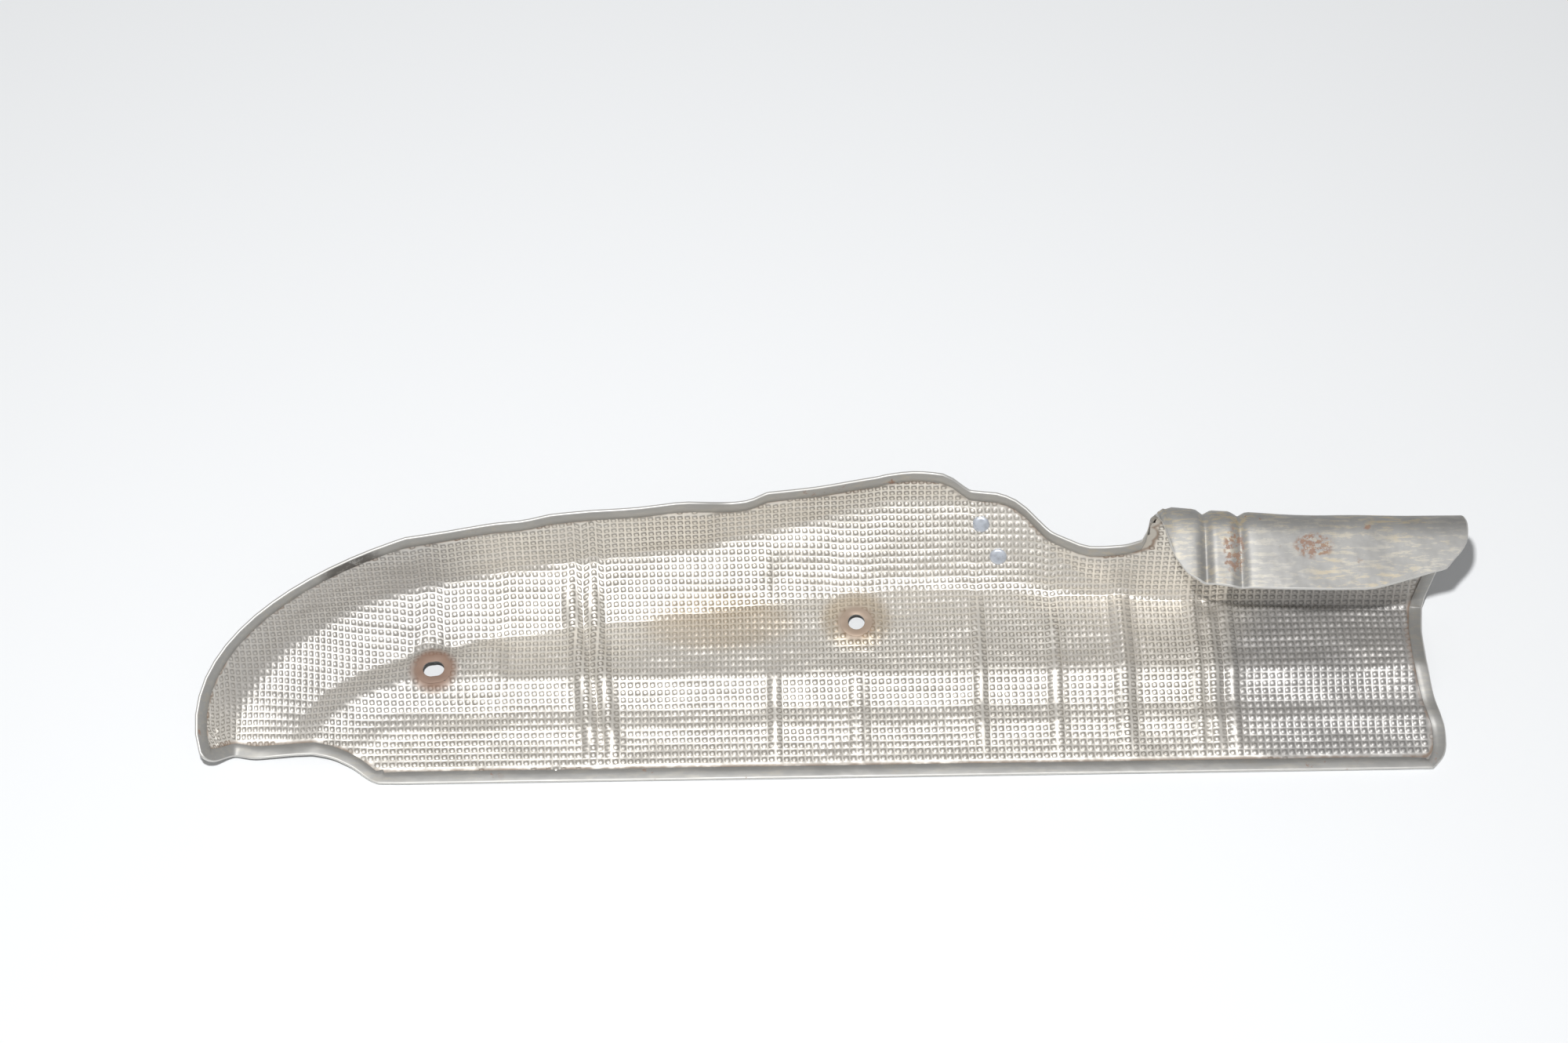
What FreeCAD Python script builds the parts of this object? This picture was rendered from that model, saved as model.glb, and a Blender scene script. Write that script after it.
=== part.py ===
import FreeCAD, Part
import math
import os

# Exhaust heat shield: an embossed front foil held by the hemmed edge of a plain back sheet.
# Millimetres, lying as it comes to rest, +X along its length and +Z up.
# The origin is the centre of the round fixing hole, on the face of its seat.
# While the form is worked out, Y is measured from the straight near edge and Z from the floor.

# Sheets and hem
BACK_THICKNESS = 0.5
FOIL_THICKNESS = 0.3
SHEET_GAP = 0.1
HEM_GAP = 0.35
HEM_WIDTH = 4.6
CORNER_INSET = 1.4
FOIL_EDGE_GAP = 0.3
FOLD_BULGE = 0.75

# Fixing holes and their raised seats
HOLE_DIAMETER = 6.8
HOLE_Y = 66.6
SLOT_LENGTH = 8.6
SLOT_WIDTH = 6.5
SLOT_PITCH_X = 172.4
SLOT_PITCH_Y = 19.4
SEAT_RADIUS = 8.0
SEAT_SKIRT = 5.0
SEAT_FLAT = 0.6
HOLE_SEAT_RISE = 2.6
SLOT_SEAT_RISE = 3.0
UP = FreeCAD.Vector(0, 0, 1)

# Two rivets on the lobe, through both sheets
RIVET_HEAD_DIAMETER = 7.0
RIVET_HEAD_THICKNESS = 0.7
RIVET_SHANK_DIAMETER = 4.0
RIVET_CLEARANCE = 0.1
RIVET_SEAT_GAP = 0.1
RIVET_SIDES = 24
RIVETS = [(52.0, 0.72), (58.5, 0.34)]

# Cross-section of the panel from the near edge: strip, two steps with a seam between them, floor
STRIP_WIDTH = 16.5
FIRST_STEP_RUN = 5.8
FIRST_STEP_RISE = 1.6
SEAM_RUN = 8.9
SEAM_RISE = 0.5
SECOND_STEP_RUN = 10.8
SECOND_STEP_RISE = 5.6

# Far wall, and the flap that rises from it and curls over the panel
WALL_ANGLE = 76.0
FLAP_WALL_HEIGHT = 45.0
CURL_RADIUS = 9.5
FLAP_DROOP = 16.0

# Lines along the length, as (x, value) points joined in between
FLOOR_END_Y = [(-182.5, 55.5), (-149.4, 63.4), (-61, 74.8), (18, 86.4), (65.4, 83.4), (96, 80),
               (122.2, 77.8), (179, 73.3), (232.8, 72)]
SHOULDER_LENGTH = [(-182.5, 28), (-61, 27), (-20, 31), (18, 36), (65.4, 37), (79.6, 22), (96, 8),
                   (122.2, 6), (232.8, 6)]
SHOULDER_ANGLE = [(-182.5, 28), (-61, 28), (-20, 33), (18, 40), (65.4, 47), (96, 60), (232.8, 62)]
RIM_LENGTH = [(-182.5, 31.7), (-160, 29.7), (-124, 28.4), (-64, 28.2), (-52.7, 22), (-43.3, 21.2),
              (-36, 23.5), (-13.6, 19.4), (10, 15.4), (32, 16.6), (38, 15.3), (47, 6.4), (62, 5.8),
              (72, 4.5), (80, 7), (90, 14), (97, 19), (110, 23), (117, 28), (119.5, 46), (122, 64),
              (125.5, 76), (130.5, 83), (137, 86.5), (150, 87.5), (204, 86.5), (213, 84), (232.8, 78)]
END_X = [(0, 230.5), (5, 236), (16.5, 236.8), (31, 233.5), (45, 231), (62, 231), (80, 233.5),
         (100, 237), (125, 241), (141, 242.5), (149, 241.5), (153.5, 238.5), (157, 233)]

# Left end, where the far wall turns down the end to a notch in the near edge
FAN_X = -182.5
FAN_COLUMNS = 4
NOTCH = [(-194.2, 0.4, 0), (-197.7, 1.9, 0), (-202.4, 5.8, 1), (-211, 10.2, 2.6), (-218.5, 12.2, 3),
         (-227, 12.0, 3), (-244, 10.8, 2.6), (-252.5, 12.6, 2.4), (-263.4, 3.8, 12)]
END_WALL_BULGE = 15.0
END_WALL_DROOP = 14.0
FLOOR_DROOP = 6.0

# Ribs across the panel: x, width, height, from y, to y, lean from far to near
RIBS = [(-111, 8.5, 2.6, 8, 86, 9.5), (-102.5, 8.5, 2.6, 8, 86, 9.5), (0, 9.0, 1.6, 12, 46, 0),
        (49.6, 6.0, 1.9, 12, 80, 0), (80.5, 7.0, 1.9, 12, 74, 0), (108.6, 10.5, 2.4, 6, 84, 0),
        (138.3, 6.6, 1.9, 8, 200, 0), (152.2, 6.6, 1.9, 8, 200, 0)]

# Raised pad beside the slot, and the dents: x, y, half length, half width, height
PADS = [(-152.4, 51, 9.5, 11, 2.6), (-206, 27, 8, 7, 1.4), (-108, 10, 7, 5, 1.6)]
DENTS = [(-31, 88, 8, 9, -2.2), (203, 40, 16, 11, -1.8), (79, 78, 9, 7, -1.6), (-53, 104, 8, 8, -1.5)]

# Columns of the form that no rib or hole asks for
PLAIN_COLUMNS = [-132, -74, -49, -43, -28, 22, 38, 65, 94, 117, 119.5, 122, 125.5, 130.5, 178, 214, 232.8]
END_PULL_X = 203.0
COLUMN_GAP = 2.0


def between(line, x):
    # Value of a line of (x, value) points at x, held level past its ends
    if x <= line[0][0]:
        return line[0][1]
    for (x0, v0), (x1, v1) in zip(line, line[1:]):
        if x <= x1:
            return v0 + (v1 - v0) * (x - x0) / (x1 - x0)
    return line[-1][1]


def fade(distance, reach):
    # 1 at the middle, 0 from reach on, smooth in between
    t = min(abs(distance) / reach, 1.0)
    return 1 - t * t * (3 - 2 * t)


def wall_point(foot_y, foot_z, length):
    # Point at a length up the far wall, round the curl and along the flap
    rise = math.radians(WALL_ANGLE)
    turn = math.radians(180 - WALL_ANGLE + FLAP_DROOP)
    straight = min(length, FLAP_WALL_HEIGHT)
    y = foot_y + straight * math.cos(rise)
    z = foot_z + straight * math.sin(rise)
    bend = min(max(length - FLAP_WALL_HEIGHT, 0) / CURL_RADIUS, turn)
    y += CURL_RADIUS * (math.sin(rise + bend) - math.sin(rise))
    z += CURL_RADIUS * (math.cos(rise) - math.cos(rise + bend))
    flat = max(length - FLAP_WALL_HEIGHT - CURL_RADIUS * turn, 0)
    y += flat * math.cos(rise + turn)
    z += flat * math.sin(rise + turn)
    return y, z


# Places of the lines across the panel
STEP_1_Y = STRIP_WIDTH + FIRST_STEP_RUN
SEAM_Y = STEP_1_Y + SEAM_RUN
STEP_2_Y = SEAM_Y + SECOND_STEP_RUN
HOLE_SHARE = (HOLE_Y - STEP_2_Y) / (between(FLOOR_END_Y, 0) - STEP_2_Y)
SEAT_SHARE = 0.75 * SEAT_RADIUS / (between(FLOOR_END_Y, 0) - STEP_2_Y)
FLOOR_SHARES = [HOLE_SHARE + k * SEAT_SHARE for k in (-1.9, -0.8, 0.8, 1.9)]
SHOULDER_SHARES = [0.0, 0.35, 0.72]
WALL_SHARES = [0.0, 0.27, 0.52, 0.6, 0.68, 0.77, 1.0]


def section(x):
    # Section at x: a (y, z) point and a developed length for each line of the form
    floor_end = between(FLOOR_END_Y, x)
    points = [(0, 0), (STRIP_WIDTH, 0), (STEP_1_Y, FIRST_STEP_RISE), (SEAM_Y, SEAM_RISE),
              (STEP_2_Y, SECOND_STEP_RISE)]
    for share in FLOOR_SHARES:
        points.append((STEP_2_Y + share * (floor_end - STEP_2_Y), SECOND_STEP_RISE * (1 - share)))
    rise = math.radians(between(SHOULDER_ANGLE, x))
    run = between(SHOULDER_LENGTH, x)
    for share in SHOULDER_SHARES:
        points.append((floor_end + share * run * math.cos(rise), share * run * math.sin(rise)))
    foot_y = floor_end + run * math.cos(rise)
    foot_z = run * math.sin(rise)
    for share in WALL_SHARES:
        points.append(wall_point(foot_y, foot_z, share * between(RIM_LENGTH, x)))
    lengths = [0.0]
    for a, b in zip(points, points[1:]):
        lengths.append(lengths[-1] + math.hypot(b[0] - a[0], b[1] - a[1]))
    return points, lengths


def columns():
    # Places along X where the form is held: rib edges and crests, seats, and the plain columns
    places = [(x, 0) for x in PLAIN_COLUMNS]
    for x, width, height, y0, y1, lean in RIBS:
        places += [(x - width / 2, lean), (x, lean), (x + width / 2, lean)]
    for x, y, half_length, half_width, height in PADS[:1]:
        places += [(x - half_length, 0), (x + half_length, 0)]
    reach = SEAT_RADIUS + SEAT_SKIRT
    flat = SEAT_FLAT * SEAT_RADIUS
    seats = [(-SLOT_PITCH_X - flat, 0), (-SLOT_PITCH_X + flat, 0), (-reach, 0), (-flat, 0), (flat, 0), (reach, 0)]
    places = [place for place in places if min(abs(place[0] - x) for x, lean in seats) > COLUMN_GAP]
    kept = [(FAN_X, 0)]
    for place in sorted(places + seats):
        if place[0] - kept[-1][0] > COLUMN_GAP:
            kept.append(place)
    return kept


def notch_point(share):
    # Point at a share of the way along the notch, from the near edge to the rim
    spans = [math.dist(a, b) for a, b in zip(NOTCH, NOTCH[1:])]
    left = share * sum(spans)
    for a, b, span in zip(NOTCH, NOTCH[1:], spans):
        if left <= span:
            return [p + (q - p) * left / span for p, q in zip(a, b)]
        left -= span
    return list(NOTCH[-1])


def fan_point(row, t):
    # Point of a line where it turns from the panel down to the notch, t from 0 at the notch to 1
    points, lengths = section(FAN_X)
    y, z = points[row]
    start = notch_point(lengths[row] / lengths[-1])
    first_wall = len(points) - len(WALL_SHARES)
    up_wall = WALL_SHARES[row - first_wall] if row >= first_wall else 0
    droop = FLOOR_DROOP * min(lengths[row] / lengths[first_wall], 1)
    droop += (END_WALL_DROOP - FLOOR_DROOP) * up_wall
    near = (start[0] - END_WALL_BULGE * up_wall, start[1] + 0.5 * (y - start[1]), start[2] + 0.55 * (z - start[2]))
    far = (FAN_X + 0.55 * (start[0] - FAN_X), y - droop, start[2] + 0.9 * (z - start[2]))
    end = (FAN_X, y, z)
    weights = ((1 - t) ** 3, 3 * t * (1 - t) ** 2, 3 * t * t * (1 - t), t ** 3)
    return [sum(w * p[k] for w, p in zip(weights, (start, near, far, end))) for k in range(3)]


def seat(x, y, z, centre, rise):
    # Flat raised seat round a hole, with a skirt down to the panel
    away = math.hypot(x - centre[0], y - centre[1])
    level = centre[2] + rise
    hold = fade(max(away - SEAT_RADIUS, 0), SEAT_SKIRT)
    return z + (level - z) * hold


def floor_height(x, y):
    # Height of the plain floor of the panel
    share = (y - STEP_2_Y) / (between(FLOOR_END_Y, x) - STEP_2_Y)
    return SECOND_STEP_RISE * (1 - share)


HOLE_CENTRE = (0, HOLE_Y, floor_height(0, HOLE_Y))
SLOT_CENTRE = (-SLOT_PITCH_X, HOLE_Y - SLOT_PITCH_Y, floor_height(-SLOT_PITCH_X, HOLE_Y - SLOT_PITCH_Y))


def relief(x, y, length):
    # Height of ribs, pads and dents above the plain form
    height = 0
    for rib_x, width, rib_height, y0, y1, lean in RIBS:
        across = max(1 - abs(x - rib_x) / (width / 2), 0)
        along = min(max((length - y0) / 5, 0), 1) * min(max((y1 - length) / 5, 0), 1)
        height += rib_height * across * along
    for pad_x, pad_y, half_length, half_width, pad_height in PADS + DENTS:
        sharp = 0.3 if pad_height > 2 else 1.0
        across = fade(max(abs(x - pad_x) - half_length * (1 - sharp), 0), half_length * sharp)
        along = fade(max(abs(y - pad_y) - half_width * (1 - sharp), 0), half_width * sharp)
        height += pad_height * across * along
    return height


def form():
    # Net of points that shapes the sheets: columns along X, lines from the near edge to the rim
    net = []
    lift = BACK_THICKNESS
    for k in range(FAN_COLUMNS):
        rows = range(len(section(FAN_X)[0]))
        net.append([FreeCAD.Vector(*fan_point(row, k / FAN_COLUMNS)) for row in rows])
    heights = [[0] * len(net[0]) for column in net]
    end_x = columns()[-1][0]
    for x, lean in columns():
        points, lengths = section(x)
        column = []
        for (y, z), length in zip(points, lengths):
            shift = lean * (0.5 - y / between(FLOOR_END_Y, x)) if lean else 0
            pull = max((x - END_PULL_X) / (end_x - END_PULL_X), 0)
            shift += (between(END_X, length) - end_x) * pull * pull
            z = seat(x, y, z, HOLE_CENTRE, HOLE_SEAT_RISE)
            z = seat(x, y, z, SLOT_CENTRE, SLOT_SEAT_RISE)
            column.append(FreeCAD.Vector(x + shift, y, z))
        net.append(column)
        heights.append([relief(x, p[0], n) for p, n in zip(points, lengths)])
    normals = net_normals(net)
    for column, normal, height in zip(net, normals, heights):
        for j in range(len(column)):
            column[j] = column[j] + normal[j] * height[j] + FreeCAD.Vector(0, -HOLE_Y, lift)
    return net


def net_normals(net):
    # Unit normals of a net, towards the foil's side
    last = len(net) - 1
    end = len(net[0]) - 1
    normals = []
    for i in range(last + 1):
        row = []
        for j in range(end + 1):
            along = net[min(i + 1, last)][j] - net[max(i - 1, 0)][j]
            across = net[i][min(j + 1, end)] - net[i][max(j - 1, 0)]
            row.append(along.cross(across).normalize())
        normals.append(row)
    return normals


class Sheet:
    # A closed sheet over the form: flat facets between rings of points, joined into one solid

    def __init__(self):
        self.points = []
        self.facets = []

    def add(self, grid):
        # Number the points of a grid or ring
        start = len(self.points)
        self.points += [point for row in grid for point in row]
        width = len(grid[0])
        return [[start + i * width + j for j in range(width)] for i in range(len(grid))]

    def quad(self, a, b, c, d):
        self.facets += [(a, b, c), (a, c, d)]

    def face(self, numbers, turned):
        # Both sides of a sheet are split along the same diagonals
        for left, right in zip(numbers, numbers[1:]):
            for j in range(len(left) - 1):
                if turned:
                    self.quad(left[j], left[j + 1], right[j + 1], right[j])
                else:
                    self.quad(left[j], right[j], right[j + 1], left[j + 1])

    def band(self, inner, outer):
        for k in range(len(inner)):
            n = (k + 1) % len(inner)
            self.quad(inner[k], outer[k], outer[n], inner[n])

    def solid(self):
        shape = Part.Shape()
        shape.makeShapeFromMesh((self.points, self.facets), 0.001)
        return Part.Solid(Part.Shell(shape.Faces))


class Form:
    # The form with its outline as one loop, and points at a height over it

    def __init__(self, net):
        last = len(net) - 1
        end = len(net[0]) - 1
        self.net = net
        self.normals = net_normals(net)
        self.loop = [(i, 0) for i in range(last)] + [(last, j) for j in range(end)]
        self.loop += [(i, end) for i in range(last, 0, -1)] + [(0, j) for j in range(end, 0, -1)]
        self.inward = {}
        for i, j in self.loop:
            inner = net[min(max(i, 1), last - 1)][min(max(j, 1), end - 1)]
            straight = (inner - net[i][j]).normalize()
            corner = i in (0, last) and j in (0, end)
            self.inward[(i, j)] = straight * (CORNER_INSET if corner else 1)

    def ring(self, inset, height):
        # Points along the outline, moved inwards and up
        points = []
        for i, j in self.loop:
            points.append(self.net[i][j] + self.inward[(i, j)] * inset + self.normals[i][j] * height)
        return [points]

    def grid(self, inset, height):
        # All points of the form at a height, with the outline moved inwards
        rows = []
        for i, (column, normal) in enumerate(zip(self.net, self.normals)):
            rows.append([])
            for j, (point, up) in enumerate(zip(column, normal)):
                aside = self.inward.get((i, j), FreeCAD.Vector()) * inset
                rows[-1].append(point + aside + up * height)
        return rows

    def edge(self, numbers):
        return [numbers[i][j] for i, j in self.loop]


panel = Form(form())
foil_back = SHEET_GAP
foil_front = foil_back + FOIL_THICKNESS
hem_under = foil_front + HEM_GAP
hem_top = hem_under + BACK_THICKNESS

# Back sheet: a plate whose edge is folded over the foil all round
sheet = Sheet()
back = sheet.add(panel.grid(0, -BACK_THICKNESS))
front = sheet.add(panel.grid(0, 0))
sheet.face(back, True)
sheet.face(front, False)
fold = [(-FOLD_BULGE, 0), (-FOLD_BULGE, hem_under), (0, hem_top), (HEM_WIDTH, hem_top),
        (HEM_WIDTH, hem_under), (0, hem_under)]
rings = [panel.edge(back)] + [sheet.add(panel.ring(*place))[0] for place in fold] + [panel.edge(front)]
for inner, outer in zip(rings, rings[1:]):
    sheet.band(outer, inner)
back_sheet = sheet.solid()

# Front foil: a thin plate that ends inside the fold
sheet = Sheet()
back = sheet.add(panel.grid(FOIL_EDGE_GAP, foil_back))
front = sheet.add(panel.grid(FOIL_EDGE_GAP, foil_front))
sheet.face(back, True)
sheet.face(front, False)
sheet.band(panel.edge(front), panel.edge(back))
front_foil = sheet.solid()

# Rest height of the seat face, which becomes Z 0
seat_z = HOLE_CENTRE[2] + HOLE_SEAT_RISE + BACK_THICKNESS + foil_front


# Length of the cutters, past both sides of a seat
cut_length = 4 * SEAT_SKIRT


def pin(foot, axis, radius, length):
    # Cylinder of a length along an axis, half of it to each side of its foot
    return Part.makeCylinder(radius, length, foot - axis * (length / 2), axis)


def slot_cutter():
    # Slot with round ends, along the line to the round hole
    centre = FreeCAD.Vector(-SLOT_PITCH_X, -SLOT_PITCH_Y, seat_z)
    half = FreeCAD.Vector((SLOT_LENGTH - SLOT_WIDTH) / 2, 0, 0)
    corner = centre - half - FreeCAD.Vector(0, SLOT_WIDTH / 2, cut_length / 2)
    middle = Part.makeBox(2 * half.x, SLOT_WIDTH, cut_length, corner)
    ends = [pin(centre + side, UP, SLOT_WIDTH / 2, cut_length) for side in (half, -half)]
    slot = middle.fuse(ends).removeSplitter()
    slot.rotate(centre, UP, math.degrees(math.atan2(SLOT_PITCH_Y, SLOT_PITCH_X)))
    return slot


def rivet_place(x, share):
    # Point of the form and its normal on the shoulder, at a share of the way up
    points, lengths = section(x)
    first = len(points) - len(WALL_SHARES) - len(SHOULDER_SHARES)
    length = lengths[first] + share * between(SHOULDER_LENGTH, x)
    row = max(j for j in range(first, len(points)) if lengths[j] <= length)
    column = max(i for i, line in enumerate(panel.net) if line[row].x <= x)
    a, b = panel.net[column][row], panel.net[column + 1][row]
    c, d = panel.net[column + 1][row + 1], panel.net[column][row + 1]
    along = (x - a.x) / (b.x - a.x)
    across = (length - lengths[row]) / (lengths[row + 1] - lengths[row])
    near = a + (b - a) * along
    far = d + (c - d) * along
    normal = (c - a).cross(d - b).normalize()
    return near + (far - near) * across, normal


def disc(foot, axis, diameter, length):
    # Short round bar, in flat sides
    rim = Part.makeCircle(diameter / 2, foot, axis).discretize(RIVET_SIDES + 1)
    return Part.Face(Part.makePolygon(rim)).extrude(axis * length)


def rivet(foot, axis):
    # A flat head on the foil, a shank through both sheets and an upset head behind
    front_seat = foil_front + RIVET_SEAT_GAP
    back_seat = -BACK_THICKNESS - RIVET_SEAT_GAP
    head = disc(foot + axis * front_seat, axis, RIVET_HEAD_DIAMETER, RIVET_HEAD_THICKNESS)
    shank = disc(foot + axis * back_seat, axis, RIVET_SHANK_DIAMETER, front_seat - back_seat)
    upset = disc(foot + axis * back_seat, -axis, RIVET_HEAD_DIAMETER, RIVET_HEAD_THICKNESS)
    return head.fuse([shank, upset])


# Fixing hole, slot and rivet holes go through both sheets
cutters = [pin(FreeCAD.Vector(0, 0, seat_z), UP, HOLE_DIAMETER / 2, cut_length), slot_cutter()]
rivets = []
for x, share in RIVETS:
    foot, axis = rivet_place(x, share)
    rivets.append(rivet(foot, axis))
    cutters.append(pin(foot, axis, RIVET_SHANK_DIAMETER / 2 + RIVET_CLEARANCE, RIVET_HEAD_DIAMETER))
back_sheet = back_sheet.cut(cutters)
front_foil = front_foil.cut(cutters)

os.makedirs("parts", exist_ok=True)
nodes = {"back_sheet": back_sheet, "front_foil": front_foil, "rivets": Part.makeCompound(rivets)}
for name, solid in nodes.items():
    solid.translate(FreeCAD.Vector(0, 0, -seat_z))
    solid.exportStep("parts/" + name + ".step")
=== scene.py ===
import bpy
import math
import numpy as np
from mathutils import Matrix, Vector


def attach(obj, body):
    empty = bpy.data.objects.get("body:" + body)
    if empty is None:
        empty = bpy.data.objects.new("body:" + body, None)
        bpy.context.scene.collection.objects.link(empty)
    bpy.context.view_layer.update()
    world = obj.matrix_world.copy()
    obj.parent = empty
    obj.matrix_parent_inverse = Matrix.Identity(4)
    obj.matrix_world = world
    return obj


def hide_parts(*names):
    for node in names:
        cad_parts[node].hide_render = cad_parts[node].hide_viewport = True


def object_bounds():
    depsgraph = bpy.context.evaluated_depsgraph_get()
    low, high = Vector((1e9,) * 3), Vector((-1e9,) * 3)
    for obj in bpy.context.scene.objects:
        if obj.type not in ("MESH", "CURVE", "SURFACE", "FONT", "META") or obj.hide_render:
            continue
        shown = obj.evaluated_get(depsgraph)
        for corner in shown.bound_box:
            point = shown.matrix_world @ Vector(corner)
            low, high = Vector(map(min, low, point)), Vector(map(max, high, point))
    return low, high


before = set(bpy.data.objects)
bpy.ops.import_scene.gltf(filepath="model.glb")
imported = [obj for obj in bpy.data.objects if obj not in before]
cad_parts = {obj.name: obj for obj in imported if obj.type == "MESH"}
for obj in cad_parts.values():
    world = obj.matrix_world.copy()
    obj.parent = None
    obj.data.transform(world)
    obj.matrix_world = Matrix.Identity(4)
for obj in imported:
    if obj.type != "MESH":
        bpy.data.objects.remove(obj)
cad_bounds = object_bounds()


# Back sheet: plain aluminised steel, half a millimetre thick, pressed from a flat blank into a stepped
# strip, a ribbed floor, a far wall that turns down the left end, and a flap curled back over the floor.
# Its edge is folded over the foil all round into a flat hem, and it has gone dull, flaked and rusty.
BACK_THICKNESS = 0.5

# The pressed form, in millimetres, with Y from the straight near edge and Z from the ground until the
# points are placed: the section's lines across, and the wall that the flap curls from.
HOLE_Y = 66.6
GROUND_Z = 5.8
FAN_X = -182.5
FAN_COLUMNS = 8
LAST_X = 232.8
STEP_LINES = [(0, 0), (5.6, 0), (16.5, 0), (22.3, 1.6), (31.2, 0.5), (42.0, 5.6)]
FLOOR_SHARES = [0.16, 0.317, 0.446, 0.589, 0.732, 0.875]
SHOULDER_SHARES = [0.0, 0.35, 0.75]
WALL_SHARES = [0.0, 0.17, 0.36, 0.5, 0.57, 0.64, 0.71, 0.78, 0.89, 1.0]
WALL_ANGLE = math.radians(76.0)
FLAP_WALL = 45.0
CURL_RADIUS = 9.5
CURL_TURN = math.radians(120.0)

# Lines along the shield, as (x, value), and the right end as (length along the section, x).
FLOOR_END_Y = [(-182.5, 55.5), (-149.4, 63.4), (-61, 74.8), (18, 86.4), (65.4, 83.4), (96, 80),
               (122.2, 77.8), (179, 73.3), (232.8, 72)]
SHOULDER_LENGTH = [(-182.5, 28), (-61, 27), (-20, 31), (18, 36), (65.4, 37), (79.6, 22), (96, 8),
                   (122.2, 6), (232.8, 6)]
SHOULDER_ANGLE = [(-182.5, 28), (-61, 28), (-20, 33), (18, 40), (65.4, 47), (96, 60), (232.8, 62)]
RIM_LENGTH = [(-182.5, 31.7), (-160, 29.7), (-124, 28.4), (-64, 28.2), (-52.7, 22), (-43.3, 21.2),
              (-36, 23.5), (-13.6, 19.4), (10, 15.4), (32, 16.6), (38, 15.3), (47, 6.4), (62, 5.8),
              (72, 4.5), (80, 7), (90, 14), (97, 19), (110, 23), (117, 28), (119.5, 46), (122, 64),
              (125.5, 76), (130.5, 83), (137, 86.5), (150, 87.5), (204, 86.5), (213, 84), (232.8, 78)]
END_X = [(0, 230.5), (5, 236), (16.5, 236.8), (31, 233.5), (45, 231), (62, 231), (80, 233.5),
         (100, 237), (125, 241), (141, 242.5), (149, 241.5), (153.5, 238.5), (157, 233)]
END_PULL_X = 203.0

# The notched left edge as points, and how the fan of columns bends between it and the first section.
NOTCH = [(-194.2, 0.4, 0), (-197.7, 1.9, 0), (-202.4, 5.8, 1), (-211, 10.2, 2.6), (-218.5, 12.2, 3),
         (-227, 12.0, 3), (-244, 10.8, 2.6), (-252.5, 12.6, 2.4), (-263.4, 3.8, 12)]
FLOOR_DROOP = 6.0
WALL_DROOP = 8.0
WALL_SWEEP = 15.0
NEAR_LIFT = (0.5, 0.55)
FAR_REACH = 0.55
FAR_LIFT = 0.9

# Ribs as (x, width, height, from, to, lean), pads and dents as (x, y, half width, half depth, height,
# softness), and the flat seats of the holes as (x, y, floor level, height).
RIBS = [(-111, 8.5, 2.6, 8, 86, 9.5), (-102.5, 8.5, 2.6, 8, 86, 9.5), (-34, 5.4, 1.8, 12, 48, 0),
        (0, 9.0, 1.6, 12, 46, 0), (49.6, 6.0, 1.9, 12, 80, 0), (80.5, 7.0, 1.9, 12, 74, 0),
        (108.6, 10.5, 2.4, 6, 84, 0), (138.3, 6.6, 1.9, 8, 200, 0), (145.2, 6.6, 1.9, 8, 74, 0),
        (152.2, 6.6, 1.9, 8, 200, 0)]
RIB_GAIN = 1.15
RIB_FADE = 5.0
RIB_STEPS = (-0.5, -0.25, 0, 0.25, 0.5)
PADS = [(-152.4, 51, 9.5, 11, 2.6, 0.3), (-206, 27, 8, 7, 1.4, 1.0), (-108, 10, 7, 5, 1.6, 1.0),
        (-31, 88, 8, 9, -2.2, 1.0), (203, 40, 16, 11, -1.8, 1.0), (79, 78, 9, 7, -1.6, 1.0),
        (-53, 104, 8, 8, -1.5, 1.0)]
SEATS = [(0.0, 66.6, 2.3, 2.6), (-172.4, 47.2, 3.8, 3.0)]
SEAT_RADIUS = 8.0
SEAT_SKIRT = 5.0

# The slight waves that thin pressed sheet keeps: height, start, and lengths across and along.
SWELL = 0.28
SWELL_START = 15.0
SWELL_ACROSS = (8.3, 23.0, 17.0)
SWELL_ALONG = (14.0, 6.7, 9.0)
SWELL_SLANT = 0.7

PLAIN_COLUMNS = [-134, -90, -82, -70, -61, -54, -49, -43, -25, -18, 13, 22, 30, 38, 60, 68, 94,
                 101, 114, 117, 119.5, 122, 125.5, 128, 130.5, 160, 172, 185, 194, 203, 211, 219, 226, 232.8]
SEAT_COLUMNS = [-180, -176, -172.4, -168, -164, -158, -147, -142, -13, -9, -4.8, 4.8, 9]
COLUMN_GAP = 1.2
CORNER_CUT = 0.25
TIP_REACH = 9.0
TIP_PULL = 3.2
TIP_STEP = 6


def along_line(line, x):
    return np.interp(x, [p[0] for p in line], [p[1] for p in line])


def fade(distance, reach):
    t = min(abs(distance) / reach, 1.0)
    return 1 - t * t * (3 - 2 * t)


def spans_of(points):
    # Length along a line of points, from 0 at the first.
    return np.concatenate([[0], np.cumsum(np.linalg.norm(np.diff(points, axis=0), axis=1))])


def wall_point(y, z, length):
    straight = min(length, FLAP_WALL)
    bend = min(max(length - FLAP_WALL, 0) / CURL_RADIUS, CURL_TURN)
    flat = max(length - FLAP_WALL - CURL_RADIUS * CURL_TURN, 0)
    end = WALL_ANGLE + bend
    y += straight * math.cos(WALL_ANGLE) + CURL_RADIUS * (math.sin(end) - math.sin(WALL_ANGLE))
    z += straight * math.sin(WALL_ANGLE) + CURL_RADIUS * (math.cos(WALL_ANGLE) - math.cos(end))
    return y + flat * math.cos(end), z + flat * math.sin(end)


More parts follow.
